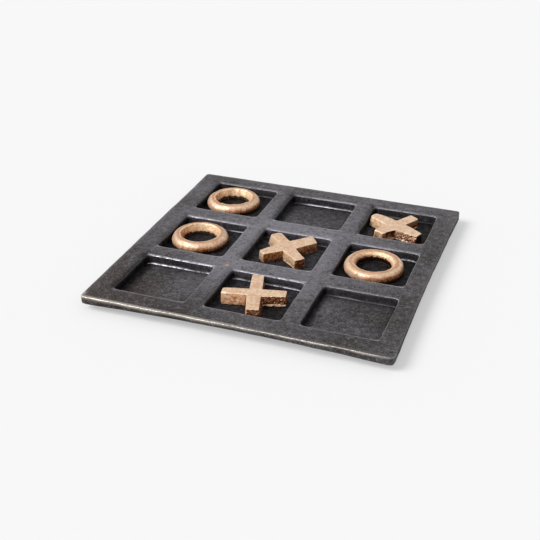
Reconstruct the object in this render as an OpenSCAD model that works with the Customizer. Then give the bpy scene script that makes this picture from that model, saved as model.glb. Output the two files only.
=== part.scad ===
// Tic-tac-toe board: a sand-cast metal tray with a grid of sunk pockets,
// three loose crosses and three loose rings, on four felt pads.
// Millimetres. Origin: middle of the footprint on the table. +Z up, -Y front.

/* [Board casting] */
// Side of the square board across its corners
board_side = 300; // [290:1:330]
// Thickness of the top plate
plate_t = 4; // [3:0.5:5]
// Wall thickness of the sunk pockets
wall_t = 3; // [2.5:0.5:3.5]
// Height of the outer edge at the corners
edge_h_corner = 8.6; // [7:0.1:10]
// Height of the outer edge at the middle of a side
edge_h_middle = 5.4; // [4.8:0.1:6.5]
// Width of the turned-down lip under the outer edge
lip_t = 5; // [4:0.5:7]
// Radius of the four outer corners
corner_r = 5; // [4:0.5:8]
// Rounding of the outer top edge
edge_round = 1.2; // [0.8:0.1:2]

/* [Pockets] */
// Mouth of a pocket, left to right
pocket_w = 73; // [72:0.5:76]
// Mouth of a pocket, front to back
pocket_d = 70.8; // [70:0.2:74]
// Depth of a pocket below the top plate's face
pocket_depth = 10; // [9:0.5:12]
// Corner radius of a pocket at its mouth
pocket_corner = 5; // [4.5:0.1:7]
// How much each pocket wall leans in from mouth to floor
pocket_draft = 1; // [0.5:0.1:1.2]
// Rounding where a pocket's wall meets its floor
floor_round = 2; // [1.5:0.1:2]
// Rounding of the pocket's mouth
mouth_round = 1.5; // [1:0.1:2]
// Spacing of the pockets, left to right and front to back
pitch = [92.15, 92.6]; // [92:0.05:94]
// Middle of the grid from the middle of the board
grid_shift = [1.5, 3.2]; // [0:0.1:3.5]

/* [Crosses] */
// Length of each of the two bars of a cross
cross_span = 64; // [60:0.5:64]
// Width of a bar at its foot
cross_bar_w = 13.8; // [12:0.2:15]
// Thickness of a cross
cross_h = 10.5; // [9:0.5:12]
// Corner radius of a bar's end in plan
cross_end_r = 3; // [2.5:0.1:4]
// Rounding of a cross's top edge
cross_crown = 1.6; // [1:0.1:2]
// Fillet in the corners between the bars
cross_web_r = 2.5; // [1:0.1:4]

/* [Rings] */
// Outside diameter of a ring
ring_od = 59.4; // [56:0.1:59.4]
// Diameter of the hole in a ring
ring_id = 33.6; // [30:0.1:34]
// Thickness of a ring
ring_h = 10.5; // [9:0.1:11]

/* [Felt pads] */
// Diameter of a felt pad
pad_d = 20; // [12:1:40]
// Thickness of a felt pad
pad_t = 1.5; // [1:0.5:3]

/* [Where the pieces lie] */
// Cross in the middle pocket: x, y from the board's middle
cross_centre_at = [0.5, 8]; // [-2:0.1:9]
// Turn of the cross in the middle pocket
cross_centre_turn = 45.3; // [40:0.1:50]
// Cross in the front pocket: x, y
cross_front_at = [1, -88.6]; // [-90:0.1:2]
// Turn of the cross in the front pocket
cross_front_turn = 15.1; // [0:0.1:20]
// Cross in the back right pocket: x, y
cross_back_right_at = [92.4, 92.9]; // [92:0.1:96]
// Turn of the cross in the back right pocket
cross_back_right_turn = 61.4; // [50:0.1:65]
// Ring in the back left pocket: x, y
ring_back_left_at = [-96.1, 99.6]; // [-97:0.1:101]
// Ring in the middle left pocket: x, y
ring_middle_left_at = [-96, 6.2]; // [-97:0.1:8]
// Ring in the middle right pocket: x, y
ring_middle_right_at = [90.1, 7.2]; // [6:0.1:92]

/* [Smoothness] */
// Facets of a small curve
small_fn = 48; // [32:8:96]

/* [Hidden] */
floor_z = pad_t + wall_t;
plate_top = floor_z + pocket_depth;
half_side = board_side / 2;
edge_rise = edge_h_corner - edge_h_middle;
lip_z = plate_top - edge_h_corner;
large_fn = 1440;
hair = 0.01;
iron = [0.36, 0.36, 0.38];
gold = [0.80, 0.62, 0.38];
felt = [0.10, 0.10, 0.11];

// Where a rounding of radius r starts on a level face, for a wall that meets
// the face at x and leans by the angle lean away from the upright
function round_x(x, r, lean) = x - r * (1 - sin(lean)) / cos(lean);

// Waste outside a rounded edge, the wall leaning from [x, 0] upwards. The
// rounding stands a hair proud, so that it crosses both faces cleanly.
module edge_waste(x, r, lean) {
  middle = [round_x(x, r, lean) + hair, r - hair];
  top = middle[1] - r * sin(lean);
  difference() {
    translate([middle[0], -1]) square([x + 2 - middle[0], 1 + top]);
    translate(middle) circle(r = r, $fn = small_fn);
  }
}

// Half section of a body, from its corner's axis out to the wall, which stands
// at base below and top above, with a rounded foot and crown
module body_section(base, top, h, foot, crown) {
  lean = atan((top - base) / h);
  difference() {
    polygon([[0, 0], [base, 0], [top, h], [0, h]]);
    if (foot > 0)
      edge_waste(base, foot, lean);
    if (crown > 0)
      translate([0, h]) mirror([0, 1]) edge_waste(top, crown, -lean);
  }
}

// Half section of a pocket's hollow, flared over the rounded mouth
module hollow_section() {
  lean = atan(pocket_draft / pocket_depth);
  base = pocket_corner - pocket_draft;
  knee = pocket_depth - mouth_round;
  out = base + (mouth_round + knee * sin(lean)) / cos(lean);
  difference() {
    polygon([
      [0, 0],
      [base, 0],
      [out - mouth_round * cos(lean), knee + mouth_round * sin(lean)],
      [out, knee],
      [out, pocket_depth + 1],
      [0, pocket_depth + 1]
    ]);
    edge_waste(base, floor_round, lean);
    translate([out, knee]) circle(r = mouth_round, $fn = small_fn);
  }
}

// A block of height h with rounded corners, its edge shaped by the child half
// section. rx and ry are the distances from the middle to the corner axes.
module sweep_block(rx, ry, h) {
  for (k = [0:3])
    let (along = k % 2 == 0 ? rx : ry, across = k % 2 == 0 ? ry : rx)
      rotate([0, 0, 90 * k])
        translate([along, across, 0]) {
          rotate_extrude(angle = 90, $fn = small_fn)
            children();
          rotate([90, 0, 0])
            linear_extrude(height = 2 * across)
              children();
        }
  translate([-rx, -ry, 0])
    cube([2 * rx, 2 * ry, h]);
}

// Hollow of one pocket, its floor at z = 0
module pocket_hollow() {
  sweep_block(pocket_w / 2 - pocket_corner, pocket_d / 2 - pocket_corner, pocket_depth + 1)
    hollow_section();
}

// Outside of one pocket's bowl, from the felt up into the top plate
module pocket_bowl() {
  lean = pocket_draft / pocket_depth;
  h = wall_t + pocket_depth - plate_t / 2;
  base = pocket_corner - pocket_draft + wall_t * (1 - lean);
  sweep_block(pocket_w / 2 - pocket_corner, pocket_d / 2 - pocket_corner, h)
    body_section(base, base + h * lean, h, floor_round + wall_t, 0);
}

// Middle of pocket k, counted from the front left, row by row
function pocket_at(k) = [
  grid_shift[0] + (k % 3 - 1) * pitch[0],
  grid_shift[1] + (floor(k / 3) - 1) * pitch[1],
  0
];

// Children at every pocket of the grid
module each_pocket() {
  for (k = [0:8])
    translate(pocket_at(k))
      children();
}

// Waste under one side's lip: a shallow arch from corner foot to corner foot
module arch_waste() {
  reach = half_side - max(corner_r, lip_t) - 2;
  r = (reach * reach + edge_rise * edge_rise) / (2 * edge_rise);
  translate([0, 1 - half_side + lip_t, 0])
    rotate([90, 0, 0])
      linear_extrude(height = lip_t + 2)
        intersection() {
          translate([-reach, 0]) square([2 * reach, edge_rise + 1]);
          translate([0, edge_rise - r]) circle(r = r, $fn = large_fn);
        }
}

// Top plate with a turned-down lip, its foot at z = 0
module plate() {
  reach = half_side - corner_r;
  inner = board_side - 2 * lip_t;
  difference() {
    sweep_block(reach, reach, edge_h_corner)
      body_section(corner_r, corner_r, edge_h_corner, 0, edge_round);
    translate([-inner / 2, -inner / 2, -1])
      cube([inner, inner, 1 + edge_h_corner - plate_t]);
    for (k = [0:3])
      rotate([0, 0, 90 * k]) arch_waste();
  }
}

module board() {
  color(iron)
    difference() {
      union() {
        translate([0, 0, lip_z])
          plate();
        each_pocket()
          translate([0, 0, pad_t])
            pocket_bowl();
      }
      each_pocket()
        translate([0, 0, floor_z])
          pocket_hollow();
    }
}

// One bar of a cross, its foot at z = 0
module cross_bar() {
  sweep_block(cross_span / 2 - cross_end_r, cross_bar_w / 2 - cross_end_r, cross_h)
    body_section(cross_end_r, cross_end_r - 0.4, cross_h, 1, cross_crown);
}

// Fillets in the four corners between the bars
module cross_webs() {
  s = cross_bar_w / 2 - 0.4;
  for (k = [0:3])
    rotate([0, 0, 90 * k])
      translate([s, s, 0.8])
        linear_extrude(height = cross_h - 0.8 - cross_crown)
          difference() {
            square([cross_web_r, cross_web_r]);
            translate([cross_web_r, cross_web_r]) circle(r = cross_web_r, $fn = small_fn);
          }
}

module cross(at, turn) {
  color(gold)
    translate([at[0], at[1], floor_z])
      rotate([0, 0, turn]) {
        cross_bar();
        rotate([0, 0, 90]) cross_bar();
        cross_webs();
      }
}

// A ring of two rounded flanks and a narrow flat, resting on z = 0
module ring(at) {
  r = ring_h / 2;
  color(gold)
    translate([at[0], at[1], floor_z])
      rotate_extrude($fn = 2 * small_fn) {
        translate([ring_id / 2 + r, r]) circle(r = r, $fn = small_fn);
        translate([ring_od / 2 - r, r]) circle(r = r, $fn = small_fn);
        translate([ring_id / 2 + r, 0]) square([(ring_od - ring_id) / 2 - 2 * r, ring_h]);
      }
}

// Pad under the bowl of pocket k
module felt_pad(k) {
  color(felt)
    translate(pocket_at(k))
      cylinder(d = pad_d, h = pad_t, $fn = small_fn);
}

module cross_centre() cross(cross_centre_at, cross_centre_turn);
module cross_front() cross(cross_front_at, cross_front_turn);
module cross_back_right() cross(cross_back_right_at, cross_back_right_turn);
module ring_back_left() ring(ring_back_left_at);
module ring_middle_left() ring(ring_middle_left_at);
module ring_middle_right() ring(ring_middle_right_at);
module felt_pad_front_left() felt_pad(0);
module felt_pad_front_right() felt_pad(2);
module felt_pad_back_left() felt_pad(6);
module felt_pad_back_right() felt_pad(8);

board();
cross_centre();
cross_front();
cross_back_right();
ring_back_left();
ring_middle_left();
ring_middle_right();
felt_pad_front_left();
felt_pad_front_right();
felt_pad_back_left();
felt_pad_back_right();
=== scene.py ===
"""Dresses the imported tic-tac-toe board: cast tray, loose crosses and rings, felt pads."""
import logging
import math
from abc import ABC, abstractmethod
from collections.abc import Callable, Sequence
from dataclasses import dataclass
from enum import Enum
from functools import cached_property

import bmesh
import bpy
from mathutils import Matrix, Vector, noise


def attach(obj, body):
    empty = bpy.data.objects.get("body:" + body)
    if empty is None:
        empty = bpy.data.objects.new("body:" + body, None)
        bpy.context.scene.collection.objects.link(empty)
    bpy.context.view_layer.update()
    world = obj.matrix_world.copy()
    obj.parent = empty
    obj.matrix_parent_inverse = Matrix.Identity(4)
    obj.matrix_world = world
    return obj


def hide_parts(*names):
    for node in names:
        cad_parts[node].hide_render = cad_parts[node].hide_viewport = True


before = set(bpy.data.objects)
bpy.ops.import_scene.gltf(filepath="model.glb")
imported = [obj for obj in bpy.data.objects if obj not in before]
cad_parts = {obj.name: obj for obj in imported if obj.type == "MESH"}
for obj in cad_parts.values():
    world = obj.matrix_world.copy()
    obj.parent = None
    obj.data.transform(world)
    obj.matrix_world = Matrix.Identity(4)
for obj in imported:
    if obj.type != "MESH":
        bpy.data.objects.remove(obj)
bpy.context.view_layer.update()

log = logging.getLogger("tic_tac_toe")

Socket = bpy.types.NodeSocket
Material = bpy.types.Material
Colour = tuple[float, float, float, float]
Pair = tuple[float, float]
Table = tuple[tuple[float, float, float], ...]
MoveRule = Callable[[Vector, Vector], Vector]
RateRule = Callable[[Vector, Vector], float]
PickRule = Callable[[Vector, Vector], bool]

MM = 0.001
NOISE_SEED = 7
DECK = 14.5
TINY = 1e-6
HAIR = 1e-5
SLACK_MM = 0.01
MATT_METAL = {"IOR": 1.5, "Specular IOR Level": 0.1}


def shade(red: int, green: int, blue: int) -> Colour:
    """Turns a colour as a screen shows it into the linear one that a node takes."""
    parts = [c / 255 for c in (red, green, blue)]
    return (*(c / 12.92 if c <= 0.04045 else ((c + 0.055) / 1.055) ** 2.4 for c in parts), 1.0)


def clip(value: float, low: float = 0.0, high: float = 1.0) -> float:
    """Keeps a number between two limits."""
    return min(high, max(low, value))


def ease(low: float, high: float, value: float) -> float:
    """Eases from 0 at low to 1 at high, which may also be the smaller one."""
    t = clip((value - low) / (high - low))
    return t * t * (3 - 2 * t)


def hump(middle: float, width: float, value: float) -> float:
    """Rises to 1 at the middle and falls off on both sides of it."""
    return math.exp(-(((value - middle) / width) ** 2))


def divide(low: float, high: float, count: int) -> list[float]:
    """Gives the inner points that cut a line into equal parts."""
    return [low + (high - low) * k / count for k in range(1, count)]


def corner_insets(gaps: Sequence[float], radius: float) -> Pair:
    """Says how far inside a square outline a point comes to lie on its rounded corner.

    Args:
        gaps: Distances of the point from the outline along x and y, one of them 0.
        radius: Radius of the corner.

    Returns:
        The new distances.
    """
    turn = math.radians(45) * (1 - max(gaps) / radius)
    insets = (radius * (1 - math.cos(turn)), radius * (1 - math.sin(turn)))
    return insets if gaps[0] < gaps[1] else insets[::-1]


class Value:
    """A node socket or a number that shader maths is written on."""

    def __init__(self, nodes: "NodeBench", source: "Socket | float") -> None:
        """Keeps the socket and the bench that adds its Math nodes."""
        self.nodes = nodes
        self.source = source

    def maths(self, operation: str, first: "Value | float", second: "Value | float") -> "Value":
        """Adds one Math node."""
        node = self.nodes.add("ShaderNodeMath", {"operation": operation}, {0: first, 1: second})
        return Value(self.nodes, node.outputs[0])

    def __add__(self, other: "Value | float") -> "Value":
        """Sum."""
        return self.maths("ADD", self, other)

    def __sub__(self, other: "Value | float") -> "Value":
        """Difference."""
        return self.maths("SUBTRACT", self, other)

    def __rsub__(self, other: float) -> "Value":
        """Difference, number first."""
        return self.maths("SUBTRACT", other, self)

    def __mul__(self, other: "Value | float") -> "Value":
        """Product."""
        return self.maths("MULTIPLY", self, other)

    __radd__ = __add__
    __rmul__ = __mul__

    def between(self, low: float, high: float) -> "Value":
        """Eases this value from 0 at low to 1 at high.

        Args:
            low: Value that gives 0.
            high: Value that gives 1, which may be the smaller one.

        Returns:
            The eased value.
        """
        inputs = {"Value": self, "From Min": low, "From Max": high}
        node = self.nodes.add("ShaderNodeMapRange", {"interpolation_type": "SMOOTHSTEP"}, inputs)
        return Value(self.nodes, node.outputs[0])


class NodeBench:
    """The node tree of a material or of the world, and the ways in which nodes are added to it."""

    def __init__(self, owner: "Material | bpy.types.World") -> None:
        """Starts with an empty tree.

        Args:
            owner: What the tree belongs to.
        """
        owner.use_nodes = True
        self.owner = owner
        self.tree = owner.node_tree
        self.tree.nodes.clear()

    def add(self, kind: str, settings: dict | None = None, inputs: dict | None = None) -> bpy.types.Node:
        """Adds one node, its settings first and then its sockets.

        Args:
            kind: Type of the node.
            settings: Properties by name.
            inputs: Values or links by socket name or number.

        Returns:
            The node.
        """
        node = self.tree.nodes.new(kind)
        for name, value in (settings or {}).items():
            setattr(node, name, value)
        for name, value in (inputs or {}).items():
            plain = value.source if isinstance(value, Value) else value
            if isinstance(plain, Socket):
                self.tree.links.new(plain, node.inputs[name])
            else:
                node.inputs[name].default_value = plain
        return node

    @cached_property
    def where(self) -> Socket:
        """The surface point in the object's own coordinates."""
        return self.add("ShaderNodeTexCoord").outputs["Object"]

    def attribute(self, name: str) -> Value:
        """Reads a number kept on the mesh's vertices."""
        return Value(self, self.add("ShaderNodeAttribute", {"attribute_name": name}).outputs["Fac"])

    def grain(self, size: float, detail: float, rough: float) -> Value:
        """Adds a cloudy noise about 0.5 whose patches have a size in metres."""
        inputs = {"Vector": self.where, "Scale": 1 / size, "Detail": detail, "Roughness": rough}
        return Value(self, self.add("ShaderNodeTexNoise", {"noise_dimensions": "3D"}, inputs).outputs["Fac"])

    def pits(self, spacing: float, radius: float) -> Value:
        """Strews round pits over the surface.

        Args:
            spacing: Mean distance between pits in metres.
            radius: Radius of a pit in metres.

        Returns:
            1 in the middle of a pit and 0 between pits.
        """
        inputs = {"Vector": self.where, "Scale": 1 / spacing, "Randomness": 1.0}
        node = self.add("ShaderNodeTexVoronoi", {"feature": "F1", "distance": "EUCLIDEAN"}, inputs)
        return 1 - Value(self, node.outputs["Distance"]).between(0.3 * radius / spacing, radius / spacing)

    def spots(self, places: Sequence[Pair], radius: float) -> Value:
        """Marks single round spots on the deck.

        Args:
            places: Plan places of the spots in mm.
            radius: Radius of a spot in metres.

        Returns:
            1 in the middle of a spot and 0 away from them.
        """
        marks = []
        for x, y in places:
            inputs = {0: self.where, 1: (x * MM, y * MM, DECK * MM)}
            node = self.add("ShaderNodeVectorMath", {"operation": "DISTANCE"}, inputs)
            marks.append(1 - Value(self, node.outputs["Value"]).between(0.35 * radius, radius))
        return sum(marks[1:], marks[0])

    def seen(self) -> Value:
        """Marks rays that show the set to the camera, straight or in a piece.

        Returns:
            1 on such a ray and 0 on one that only lights.
        """
        path = self.add("ShaderNodeLightPath").outputs
        kinds = ("Camera", "Glossy", "Transmission")
        straight, glossy, clear = (Value(self, path[f"Is {kind} Ray"]) for kind in kinds)
        return straight + glossy + clear

    def layers(self, ground: Colour, *coats: tuple[Value, Colour]) -> Socket:
        """Lays colours over a ground one after another.

        Args:
            ground: Colour to start from.
            coats: Share and colour of each layer.

        Returns:
            The mixed colour.
        """
        settings = {"data_type": "RGBA", "blend_type": "MIX", "clamp_factor": True}
        for share, tint in coats:
            ground = self.add("ShaderNodeMix", settings, {0: share, 6: ground, 7: tint}).outputs[2]
        return ground

    def relief(self, height: Value, depth: float, under: Socket | None = None) -> Socket:
        """Adds a bump of a real depth in metres, over a coarser one if there is one.

        Args:
            height: Height of the relief from 0 to 1.
            depth: Real depth of the relief in metres.
            under: Normal of the coarser relief.

        Returns:
            The bumped normal.
        """
        inputs = {"Height": height, "Distance": depth, "Strength": 1.0}
        if under is not None:
            inputs["Normal"] = under
        return self.add("ShaderNodeBump", None, inputs).outputs["Normal"]

    def finish(self, sockets: dict) -> Material:
        """Ends the material with its surface shader.

        Args:
            sockets: Values or links of the shader's sockets.

        Returns:
            The finished material.
        """
        shader = self.add("ShaderNodeBsdfPrincipled", None, sockets)
        self.add("ShaderNodeOutputMaterial", None, {"Surface": shader.outputs[0]})
        return self.owner


@dataclass(frozen=True)
class BlackenedCasting:
    """Dark antique finish of the sand-cast tray, rubbed bright on its arrises, with painted highlights on the
    pockets' back arrises, front mouth edges and wall feet, a painted broad highlight about the top's middle,
    and painted shade in the pockets and on the sides.
    """

    dark: Colour = shade(50, 44, 40)
    light: Colour = shade(121, 119, 125)
    sand: Colour = shade(146, 144, 152)
    earth: Colour = shade(58, 46, 38)
    soot_and_shade: Colour = shade(14, 12, 12)
    highlight_grey: Colour = shade(206, 206, 216)
    rubbed: Colour = shade(188, 180, 170)
    fleck: Colour = shade(196, 150, 96)
    flecks: tuple[Pair, ...] = ((-43.2, -48.3),)
    dents: tuple[Pair, ...] = ((145.8, -140.6), (36.1, 130.7))
    browned: tuple[Pair, ...] = ((-148.0, -142.0),)

    def make(self) -> Material:
        """Builds the material.

        Returns:
            The material.
        """
        nodes = NodeBench(bpy.data.materials.new("blackened_casting"))
        arris, hollow, worn, rub_and_highlight, painted_shade, broad_highlight = map(
            nodes.attribute, ("arris", "hollow", "worn", "rub_and_highlight", "soot_and_shade", "broad_highlight")
        )
        clouds = nodes.grain(0.03, 4.0, 0.6)
        mottle = nodes.grain(0.0052, 4.0, 0.7)
        grit = nodes.grain(0.0016, 2.0, 0.6)
        fine = nodes.grain(0.0009, 2.0, 0.6)
        specks = nodes.pits(0.0062, 0.0011)
        dented = nodes.spots(self.dents, 0.0014)
        # tone: random clouds plus a painted broad highlight about the top's middle
        tone = broad_highlight * 0.85 + clouds.between(0.3, 0.72) * 0.26
        grains = grit.between(0.44, 0.34) * (0.25 + tone * 0.6)
        broken = mottle.between(0.36, 0.55)
        pale_highlight = rub_and_highlight * (0.15 + broken * 0.85) + arris * broken * 0.2
        rubbed = worn * (0.3 + mottle.between(0.3, 0.5) * 0.7)
        colour = nodes.layers(
            self.dark,
            (tone, self.light),
            (nodes.spots(self.browned, 0.11) * 0.6, self.earth),
            (mottle.between(0.5, 0.66) * 0.45 + grit.between(0.53, 0.68) * 0.35, self.soot_and_shade),
            (mottle.between(0.48, 0.32) * 0.25 + grains, self.sand),
            (specks * clouds.between(0.42, 0.6) * 0.45, self.sand),
            # painted shade in the pockets and on the sides, with darkening in concave creases
            (painted_shade * (0.86 + mottle.between(0.35, 0.65) * 0.16) + hollow * 0.3, self.soot_and_shade),
            # pale grey painted as highlights on the rubbed arrises and wall feet
            (pale_highlight, self.highlight_grey),
            (rubbed, self.rubbed),
            (dented * 0.85, self.soot_and_shade),
            (nodes.spots(self.flecks, 0.0025) * 0.9, self.fleck),
        )
        bare = rubbed + pale_highlight
        broad = nodes.relief(clouds, 0.0009)
        medium = nodes.relief(mottle + grit * 0.5 - dented, 0.0005, broad)
        return nodes.finish({
            **MATT_METAL,
            "Base Color": colour,
            "Metallic": 0.5 + bare * 0.45,
            "Roughness": 0.46 + (mottle - 0.5) * 0.35 + (clouds - 0.5) * 0.2 + painted_shade * 0.2 - bare * 0.12,
            "Normal": nodes.relief(fine, 0.00008, medium),
        })


@dataclass(frozen=True)
class AntiqueBrass:
    """Matt cast brass, rubbed pale on its arrises, darker brown towards the bottom and in its pits, with
    painted shade on the sides that face away from the key light and painted light on those that face it.
    """

    face: Colour = shade(221, 189, 160)
    pale: Colour = shade(240, 215, 190)
    bright: Colour = shade(252, 230, 200)
    sunny: Colour = shade(252, 222, 184)
    deep: Colour = shade(194, 120, 60)
    dull: Colour = shade(142, 108, 76)
    stain_and_shade_brown: Colour = shade(112, 52, 14)
    shadow_black: Colour = shade(32, 16, 9)

    def make(self) -> Material:
        """Builds the material.

        Returns:
            The material.
        """
        nodes = NodeBench(bpy.data.materials.new("antique_brass"))
        arris, hollow, low, rough_cast, flank, upright, sunlit, band = map(
            nodes.attribute, ("arris", "hollow", "low", "rough_cast", "flank", "upright", "sunlit", "band")
        )
        patches = nodes.grain(0.009, 3.0, 0.6)
        mottle = nodes.grain(0.0034, 4.0, 0.7)
        grit = nodes.grain(0.0014, 3.0, 0.65)
        fine = nodes.grain(0.0005, 2.0, 0.6)
        crumbs = nodes.grain(0.0016, 3.0, 0.75)
        banded = band * (0.25 + grit * 0.4)
        # random tarnish, plus painted shade on sides that face away from the key light
        tarnish_and_shade = mottle.between(0.46, 0.6) * (0.25 + 0.5 * flank)
        tarnish_and_shade = tarnish_and_shade + grit.between(0.53, 0.66) * (0.2 + 0.3 * flank)
        tarnish_and_shade = tarnish_and_shade + flank * 0.35 + upright * 0.12 + banded * 0.6
        # darker towards the bottom, painted shade on sides that face away from the key light, and brown in
        # crumbly skin
        stain_and_shade = low * (0.1 + flank * 0.2 + mottle.between(0.38, 0.56) * 0.6)
        stain_and_shade = stain_and_shade + flank * flank * (0.04 + grit.between(0.4, 0.62) * 0.5)
        crumbled = crumbs.between(0.45, 0.56) * (0.5 + flank * 0.2)
        stain_and_shade = stain_and_shade + rough_cast * (0.08 + flank * 0.12 + crumbled)
        rubbed = arris.between(0.08, 0.42) * (0.45 + grit.between(0.36, 0.56) * 0.55)
        colour = nodes.layers(
            self.face,
            (patches.between(0.4, 0.6) * 0.5 + grit.between(0.5, 0.36) * 0.4, self.pale),
            # painted light on sides that face the key light
            (sunlit * 0.8, self.sunny),
            (banded + mottle.between(0.5, 0.66) * 0.12 + grit.between(0.54, 0.66) * 0.12, self.dull),
            (tarnish_and_shade, self.deep),
            (stain_and_shade + hollow * 0.7, self.stain_and_shade_brown),
            # black painted shade on shaded arm ends and low in a ring's hole
            (low.between(1.0, 1.5), self.shadow_black),
            (rubbed, self.bright),
        )
        medium = nodes.relief(mottle + grit * 0.4 + rough_cast * crumbs * 1.5, 0.0005)
        return nodes.finish({
            **MATT_METAL,
            "Base Color": colour,
            "Metallic": 0.72 - upright * 0.5 + rubbed * 0.2,
            "Roughness": 0.44 + (mottle - 0.5) * 0.6 + low * 0.1 + rough_cast * 0.12 - rubbed * 0.1,
            "Normal": nodes.relief(fine, 0.00005, medium),
        })


@dataclass(frozen=True)
class PressedFelt:
    """Dense dark felt of the pads."""

    face: Colour = shade(48, 47, 49)
    fibre: Colour = shade(84, 82, 83)

    def make(self) -> Material:
        """Builds the material.

        Returns:
            The material.
        """
        nodes = NodeBench(bpy.data.materials.new("pressed_felt"))
        matted = nodes.grain(0.0016, 5.0, 0.7)
        fibres = nodes.grain(0.0004, 2.0, 0.6)
        return nodes.finish({
            "Metallic": 0.0,
            "Sheen Weight": 0.3,
            "Sheen Roughness": 0.6,
            "Base Color": nodes.layers(self.face, (matted.between(0.4, 0.7), self.fibre)),
            "Roughness": 0.9 + (matted - 0.5) * 0.15,
            "Normal": nodes.relief(fibres, 0.0001, nodes.relief(matted, 0.0004)),
        })


class Part(Enum):
    """What a selection picks out of a mesh."""

    EDGES = "EDGE"
    FACES = "FACE"


class Workpiece:
    """A mesh being shaped in edit mode, with the steps that all pieces share."""

    def __init__(self, name: str, add: Callable[[], object]) -> None:
        """Adds a primitive and takes it as the start.

        Args:
            name: Name of the piece.
            add: Call that adds the primitive at its size and place.
        """
        self.rest()
        add()
        self.thing = bpy.context.view_layer.objects.active
        self.thing.name = name
        self.thing.data.name = name
        bpy.ops.object.transform_apply(location=True, rotation=True, scale=True)

    @staticmethod
    def rest() -> None:
        """Leaves edit mode and deselects everything."""
        if bpy.context.view_layer.objects.active and bpy.context.mode != "OBJECT":
            bpy.ops.object.mode_set(mode="OBJECT")
        bpy.ops.object.select_all(action="DESELECT")

    def take(self) -> None:
        """Makes this the only selected object."""
        self.rest()
        bpy.context.view_layer.objects.active = self.thing
        self.thing.select_set(True)

    def enter(self, part: Part) -> bmesh.types.BMesh:
        """Enters edit mode with nothing selected.

        Args:
            part: Kind of element that will be selected.

        Returns:
            The mesh to select in.
        """
        self.take()
        bpy.ops.object.mode_set(mode="EDIT")
        bpy.ops.mesh.select_mode(type=part.value)
        bpy.ops.mesh.select_all(action="DESELECT")
        return bmesh.from_edit_mesh(self.thing.data)

    def pick(self, part: Part, test: PickRule) -> None:
        """Selects what passes a test, in edit mode.

        Args:
            part: Kind of element to select.
            test: Given an element's middle and a face's normal or an edge's run,
                says whether to take it.
        """
        cage = self.enter(part)
        if part == Part.FACES:
            found = [(face, face.calc_center_median(), face.normal) for face in cage.faces]
        else:
            ends = [(edge, edge.verts[0].co, edge.verts[1].co) for edge in cage.edges]
            found = [(edge, (start + end) / 2, end - start) for edge, start, end in ends]
        for item, middle, way in found:
            if test(middle, way):
                item.select_set(True)
        bmesh.update_edit_mesh(self.thing.data)

    def pick_boundary(self) -> None:
        """Selects the open edges of the mesh, in edit mode."""
        cage = self.enter(Part.EDGES)
        for edge in cage.edges:
            edge.select_set(edge.is_boundary)
        cage.select_flush_mode()
        bmesh.update_edit_mesh(self.thing.data)

    def draw_out(self, way: Sequence[float]) -> None:
        """Extrudes the selection by an offset."""
        bpy.ops.mesh.extrude_region_move(TRANSFORM_OT_translate={"value": tuple(way)})

    def scale(self, factors: Sequence[float], about: Sequence[float]) -> None:
        """Scales the selection along x, y and z about a point."""
        bpy.ops.transform.resize(value=tuple(factors), center_override=tuple(about))

    def round_over(self, width: float, segments: int) -> None:
        """Bevels the selected edges by a width in metres."""
        bpy.ops.mesh.bevel(offset=width, segments=segments, affect="EDGES", profile=0.5)

    def apply(self, kind: str, **settings: object) -> None:
        """Adds one modifier and applies it.

        Args:
            kind: Type of the modifier.
            settings: Its properties.
        """
        self.take()
        modifier = self.thing.modifiers.new(kind.lower(), kind)
        for name, value in settings.items():
            setattr(modifier, name, value)
        bpy.ops.object.modifier_apply(modifier=modifier.name)

    def move_points(self, rule: MoveRule) -> None:
        """Moves every vertex by a rule.

        Args:
            rule: Given a vertex's place and normal, gives its new place.
        """
        self.take()
        points = self.thing.data.vertices
        places, ways = [0.0] * (3 * len(points)), [0.0] * (3 * len(points))
        points.foreach_get("co", places)
        points.foreach_get("normal", ways)
        moved = []
        for k in range(0, len(places), 3):
            moved.extend(rule(Vector(places[k : k + 3]), Vector(ways[k : k + 3])))
        points.foreach_set("co", moved)
        self.thing.data.update()

    def rate(self, name: str, rule: RateRule) -> None:
        """Keeps the number that a rule gives each vertex from its place and normal."""
        self.keep(name, [rule(vertex.co, vertex.normal) for vertex in self.thing.data.vertices])

    def keep(self, name: str, numbers: Sequence[float]) -> None:
        """Keeps one number for each vertex as an attribute."""
        attribute = self.thing.data.attributes.new(name, "FLOAT", "POINT")
        attribute.data.foreach_set("value", numbers)

    def mark_bends(self, radius: float, spread: int) -> None:
        """Keeps how far the surface bends as the attributes arris and hollow.

        Args:
            radius: Radius of a rounding that counts fully, in metres.
            spread: How often the result is averaged with its neighbours.
        """
        self.rest()
        cage = bmesh.new()
        cage.from_mesh(self.thing.data)
        cage.verts.ensure_lookup_table()
        bend = []
        for vertex in cage.verts:
            total = 0.0
            for edge in vertex.link_edges:
                run = edge.other_vert(vertex).co - vertex.co
                total -= run.normalized().dot(vertex.normal) / max(run.length, HAIR)
            bend.append(total / max(1, len(vertex.link_edges)))
        rounds = [[v.index, *(e.other_vert(v).index for e in v.link_edges)] for v in cage.verts]
        for _ in range(spread):
            bend = [sum(bend[k] for k in near) / len(near) for near in rounds]
        cage.free()
        self.keep("arris", [clip(b * radius) for b in bend])
        self.keep("hollow", [clip(-b * radius) for b in bend])

    def smooth(self, degrees: float) -> None:
        """Smooths the shading up to an angle between faces."""
        self.take()
        bpy.ops.object.shade_smooth_by_angle(angle=math.radians(degrees))

    def face_outwards(self) -> None:
        """Merges doubles and turns all faces outwards."""
        self.take()
        bpy.ops.object.mode_set(mode="EDIT")
        bpy.ops.mesh.select_all(action="SELECT")
        bpy.ops.mesh.remove_doubles(threshold=TINY)
        bpy.ops.mesh.normals_make_consistent(inside=False)
        bpy.ops.object.mode_set(mode="OBJECT")

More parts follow.
